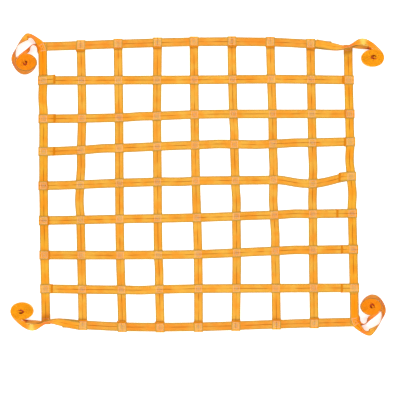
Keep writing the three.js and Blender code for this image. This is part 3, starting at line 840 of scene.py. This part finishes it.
def strand_rows(form, legs, start_angle, outside):
    """Rows of one of the two straps from its sewn end to where the turns end at the core."""
    turned_by = form["hand"] * (start_angle - form["inner_from"])
    start = (turned_by + EARLY_START) % FULL_TURN - EARLY_START
    end = FULL_TURN * form["turns"]
    rows = [(*row, STRAP_THICK) for row in legs]
    for wound in np.linspace(start, end, math.ceil((end - start) / TURN_STEP)):
        place, out = roll_place(form, wound)
        room = strap_room(form, wound)
        inward, tilt = drawn_in(form, wound)
        x, y = place + out * ((room if outside else 0.0) - inward)
        thick = min(max(room - LAYER_GAP, STRAP_THICK), SPREAD_THICK)
        rim = form["rim"] + (form["deep"] - form["rim"]) * ease((wound - RIM_UNTIL) / RIM_FADE)
        rows.append((x, y, tilt, edge_height(wound), rim if outside else form["deep"], thick))
    return rows


def bight_rows(form):
    """Middle line of the doubled strap from the last turn across the core, with the way outwards."""
    hand = form["hand"]
    end = FULL_TURN * form["turns"]
    middle = np.array(form["roll"], float) + np.array(form["core"], float)
    last = form["inner_from"] + hand * end
    rows = []
    for back in (2 * TURN_STEP, TURN_STEP, 0.0):
        place, out = roll_place(form, end - back)
        inward, tilt = drawn_in(form, end - back)
        last_place = place + out * (LAYER / 2 - inward)
        rows.append((*last_place, tilt, edge_height(end), form["deep"], STRAP_THICK))
    for swing, reach, tilt in BIGHT:
        angle = math.radians(last + hand * swing)
        place = middle + reach * np.array(form["core_size"]) * (math.cos(angle), math.sin(angle))
        rows.append((*place, tilt, edge_height(end), form["deep"], STRAP_THICK))
    line = smooth_rows(rows, BIGHT_STATION)
    flat = headings(line[:, :2])
    out = hand * np.column_stack([flat[:, 1], -flat[:, 0]])
    past = np.linalg.norm(line[:, :2] - last_place, axis=1).argmin() + BIGHT_CLEAR
    return line[past:], out[past:], flat[-1]


def steadied(rows):
    """Directions averaged with their neighbours, since webbing turns its face more slowly than its edge."""
    padded = np.vstack([rows[:1]] * STEADY + [rows] + [rows[-1:]] * STEADY)
    window = np.ones(2 * STEADY + 1)
    return unit(np.column_stack([np.convolve(column, window, "valid") for column in padded.T]))


def shifted(rows, by):
    moved = rows.copy()
    moved[:, :2] += by
    return moved


def loop_route(form):
    """One strap from its upper lap, through the roll's turns to the bight and back out, to its lower lap,
    and the tone at each station."""
    line, out, tip = bight_rows(form)
    there = strand_rows(form, form["outer"], form["outer_from"], True)
    back = strand_rows(form, form["inner"], form["inner_from"], False)
    strands = []
    for rows, sign in ((there, 1.0), (back, -1.0)):
        beside = shifted(line, out * sign * LAYER / 2)[::2]
        strands.append(smooth_rows(rows + [tuple(row) for row in beside], LOOP_STATION))
    turn = np.linspace(0, math.pi, BIGHT_STEPS + 1)[1:-1, None]
    ahead = np.array([line[-1]] * len(turn))
    ahead[:, :2] += LAYER / 2 * (np.cos(turn) * out[-1] + np.sin(turn) * tip)
    parts = []
    for dense in (strands[0], ahead, strands[1]):
        flat = steadied(headings(dense[:, :2]))
        tilt = np.radians(dense[:, 2])
        inward = form["hand"] * np.column_stack([-flat[:, 1], flat[:, 0], np.zeros(len(flat))])
        across = inward * np.cos(tilt)[:, None] + np.array([0, 0, 1]) * np.sin(tilt)[:, None]
        foot = dense[:, 3] + LOOP_FOOT + STRAP_THICK / 2 * np.abs(np.cos(tilt))
        parts.append(np.column_stack([dense[:, :2], foot, across, dense[:, 4:]]))
    whole = np.vstack([parts[0], parts[1], parts[2][::-1]])
    across = whole[:, 3:6]
    middles = whole[:, :3] + across * LOOP_WIDTH / 2
    thick = np.clip(whole[:, 7], STRAP_THICK, SPREAD_THICK) / STRAP_THICK
    through = unit(np.cross(headings(middles), across)) * thick[:, None]
    return (middles, across, through), np.clip(whole[:, 6], -1.0, form["deep"])


def set_down(route, corner, turned, shift):
    """Turns a loop's route for its corner and lays it there."""
    sign = -1.0 if turned else 1.0
    spin = np.array([sign, sign, 1.0])
    middles, across, through = route
    move = np.array([corner[0] + shift[0], corner[1] + shift[1], 0.0])
    return middles * spin + move, across * spin, through * spin


# Sewing, in mm: thread rows lie on the webbing as lines, and each line becomes a run of stitches.
STITCH_SIZES = {"Stitch Pitch": 6.0, "Stitch Length": 5.8, "Thread Thickness": 1.5}
BEAD_SIDES = 6
BEAD_RINGS = 4
# Half sizes of a sewn box's rows, of the rows round its middle and of its cross, and where a row has points.
BOX_ROWS = (20.5, 18.4, 16.3)
CENTRE_ROWS = (8.6, 5.6)
BOX_CROSS = 11.0
SIDE_PARTS = (0, 0.25, 0.5, 0.75)
CROSS_POINTS = 5
# Two rows on a trailing loop's lap: from and to along it, points in each, and how far off its middle.
LAP_FROM, LAP_TO, LAP_POINTS, LAP_ASIDE = -36, 20, 9, 15


def stitch_tree():
    """A Geometry Nodes tree that sets stitches along lines, and the identifiers of its inputs."""
    tree = bpy.data.node_groups.new("sewn_rows", "GeometryNodeTree")
    face = tree.interface
    face.new_socket("Rows", in_out="INPUT", socket_type="NodeSocketGeometry")
    sizes = {}
    for label, size in STITCH_SIZES.items():
        socket = face.new_socket(label, in_out="INPUT", socket_type="NodeSocketFloat")
        socket.default_value = size * MM
        sizes[label] = socket.identifier
    sizes["Thread"] = face.new_socket("Thread", in_out="INPUT", socket_type="NodeSocketMaterial").identifier
    face.new_socket("Stitches", in_out="OUTPUT", socket_type="NodeSocketGeometry")
    add, link = tree.nodes.new, tree.links.new
    given, made = add("NodeGroupInput"), add("NodeGroupOutput")
    rows = add("GeometryNodeMeshToCurve")
    link(given.outputs["Rows"], rows.inputs[0])
    places = add("GeometryNodeCurveToPoints")
    places.mode = "LENGTH"
    link(rows.outputs[0], places.inputs["Curve"])
    link(given.outputs["Stitch Pitch"], places.inputs["Length"])
    turn = add("FunctionNodeAlignRotationToVector")
    turn.axis = "Z"
    link(places.outputs["Tangent"], turn.inputs["Vector"])
    bead = add("GeometryNodeMeshUVSphere")
    bead.inputs["Segments"].default_value = BEAD_SIDES
    bead.inputs["Rings"].default_value = BEAD_RINGS
    bead.inputs["Radius"].default_value = 0.5
    size = add("ShaderNodeCombineXYZ")
    link(given.outputs["Thread Thickness"], size.inputs[0])
    link(given.outputs["Thread Thickness"], size.inputs[1])
    link(given.outputs["Stitch Length"], size.inputs[2])
    drawn = add("GeometryNodeTransform")
    link(bead.outputs["Mesh"], drawn.inputs["Geometry"])
    link(size.outputs[0], drawn.inputs["Scale"])
    sewn = add("GeometryNodeInstanceOnPoints")
    link(places.outputs["Points"], sewn.inputs["Points"])
    link(drawn.outputs[0], sewn.inputs["Instance"])
    link(turn.outputs[0], sewn.inputs["Rotation"])
    solid = add("GeometryNodeRealizeInstances")
    link(sewn.outputs[0], solid.inputs[0])
    rounded = add("GeometryNodeSetShadeSmooth")
    link(solid.outputs[0], rounded.inputs[0])
    dyed = add("GeometryNodeSetMaterial")
    link(rounded.outputs[0], dyed.inputs["Geometry"])
    link(given.outputs["Thread"], dyed.inputs["Material"])
    link(dyed.outputs[0], made.inputs[0])
    return tree, sizes


sewn_rows, sewn_inputs = stitch_tree()


def sew(name, lines, thread):
    """Stitches along lines of points in mm, each with whether it is closed into a ring."""
    points, edges = [], []
    for line, closed in lines:
        first = len(points)
        points += line
        edges += [(first + k, first + k + 1) for k in range(len(line) - 1)]
        if closed:
            edges.append((first + len(line) - 1, first))
    mesh = bpy.data.meshes.new(name + "_rows")
    mesh.from_pydata(((np.array(points) + OUTLINE_SHIFT) * MM).tolist(), edges, [])
    guide = bpy.data.objects.new(name + "_rows", mesh)
    scene.collection.objects.link(guide)
    run = guide.modifiers.new("sewn_rows", "NODES")
    run.node_group = sewn_rows
    for label, size in STITCH_SIZES.items():
        run[sewn_inputs[label]] = size * MM
    run[sewn_inputs["Thread"]] = thread
    ready = guide.evaluated_get(bpy.context.evaluated_depsgraph_get())
    made = bpy.data.meshes.new_from_object(ready)
    guide.modifiers.remove(run)
    bpy.data.objects.remove(guide)
    made.name = name
    piece = bpy.data.objects.new(name, made)
    scene.collection.objects.link(piece)
    return piece


def ring_lines(lay, rows):
    """Sewn rows round a box; `lay` puts a point along and across the strap on its face."""
    lines = []
    for reach in rows:
        corners = [(-reach, -reach), (reach, -reach), (reach, reach), (-reach, reach)]
        line = []
        for k in range(4):
            start, end = np.array(corners[k]), np.array(corners[(k + 1) % 4])
            line += [lay(*(start + (end - start) * part)) for part in SIDE_PARTS]
        lines.append((line, True))
    return lines


def cross_lines(lay, reach):
    """The sewn cross inside a box."""
    parts = np.linspace(-reach, reach, CROSS_POINTS)
    return [([lay(part, part * slope) for part in parts], False) for slope in (1, -1)]


def flat_lay(x, y, slope, top, turned):
    """Lays points on a level strap that runs along x, or along y where turned, with that slope in plan."""
    def lay(along, across):
        if turned:
            return (x + across + slope * along, y + along, top)
        return (x + along, y + across + slope * along, top)
    return lay


def lap_lay(route, at, side):
    """Lays points on a loop's lap, so far along it, on the face that lies upwards."""
    middles, across, through = route
    run = run_along(middles)

    def between(rows, here):
        return np.array([np.interp(here, run, rows[:, k]) for k in range(3)])

    def lay(along, sideways):
        here = at + along
        place = between(middles, here) + between(across, here) * sideways
        return tuple(place + between(through, here) * side * STRAP_THICK / 2)
    return lay


def declare(piece, node, sewing):
    """A length of webbing stands for its CAD node, with its sewing on it."""
    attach(piece, "root")
    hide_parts(node)
    for part in sewing:
        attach(part, "root")


# Side borders whose end is sewn to a trailing loop: the cross strap there, and the way into the net.
CORNER_BOX = {0: (LAST, 1), LAST: (0, -1)}
CORNER_BOX_INSET = 10.0
TOP_OF_TWO = layer_height(1) + STRAP_THICK / 2
TOP_OF_THREE = layer_height(2) + STRAP_THICK / 2
# A strap's slope at a crossing is taken over this far each way.
SLOPE_REACH = 20.0

for index in range(LAST + 1):
    border = index in (0, LAST)
    name = f"upright_webbing_{index + 1}"
    route = upright_route(index)
    piece, length = webbing_piece(name, route, STRAP_WIDTH, upright_webbing, float(border), not border)
    sewing = []
    if border:
        cross, inward = CORNER_BOX[index]
        x, y = crossing(index, cross)
        lay = flat_lay(x, y + inward * CORNER_BOX_INSET, 0.0, STRAP_THICK, True)
        sewing.append(sew(f"corner_stitches_{index + 1}", ring_lines(lay, BOX_ROWS[1:]), pale_thread))
    declare(piece, f"upright_strap_{index + 1}", sewing)

for index in range(LAST + 1):
    border = index in (0, LAST)
    name = f"cross_webbing_{index + 1}"
    route = cross_route(index)
    piece, length = webbing_piece(name, route, STRAP_WIDTH, cross_webbing, float(border), not border)
    lines, centres = [], []
    for upright in range(LAST + 1):
        x, y = crossing(upright, index)
        at_side = upright in (0, LAST)
        if border and at_side:
            continue
        if border:
            rise = upright_x(upright, y + SLOPE_REACH) - upright_x(upright, y - SLOPE_REACH)
        else:
            rise = cross_y(index, x + SLOPE_REACH) - cross_y(index, x - SLOPE_REACH)
        top = TOP_OF_THREE if border or at_side else TOP_OF_TWO
        lay = flat_lay(x, y, rise / (2 * SLOPE_REACH), top, border)
        lines += ring_lines(lay, BOX_ROWS)
        centres += ring_lines(lay, CENTRE_ROWS) + cross_lines(lay, BOX_CROSS)
    sewing = [
        sew(f"crossing_stitches_{index + 1}", lines, pale_thread),
        sew(f"crossing_centres_{index + 1}", centres, grey_thread),
    ]
    declare(piece, f"cross_strap_{index + 1}", sewing)

cores = []
for corner, form, upright, cross, turned, shift in LOOPS:
    corner_at = crossing(upright, cross)
    core = (np.array(form["roll"]) + form["core"]) * (-1 if turned else 1)
    cores.append((core + corner_at + shift + OUTLINE_SHIFT[:2]) * MM)
    route, tone = loop_route(form)
    route = set_down(route, corner_at, turned, shift)
    name = f"lifting_loop_webbing_{corner}"
    piece, length = webbing_piece(name, route, LOOP_WIDTH, loop_webbing, tone, False)
    lay = lap_lay(route, form["sewn_at"], form["hand"])
    if form is STANDING:
        lines = ring_lines(lay, BOX_ROWS) + cross_lines(lay, BOX_CROSS)
        sewing = sew(f"loop_stitches_{corner}", lines, pale_thread)
    else:
        parts = np.linspace(LAP_FROM, LAP_TO, LAP_POINTS)
        lines = [([lay(part, aside) for part in parts], False) for aside in (-LAP_ASIDE, LAP_ASIDE)]
        sewing = sew(f"loop_stitches_{corner}", lines, orange_thread)
    declare(piece, f"lifting_loop_{corner}", [sewing])

overhead_camera()
pale_floor(cores)
studio_room()
soft_boxes()
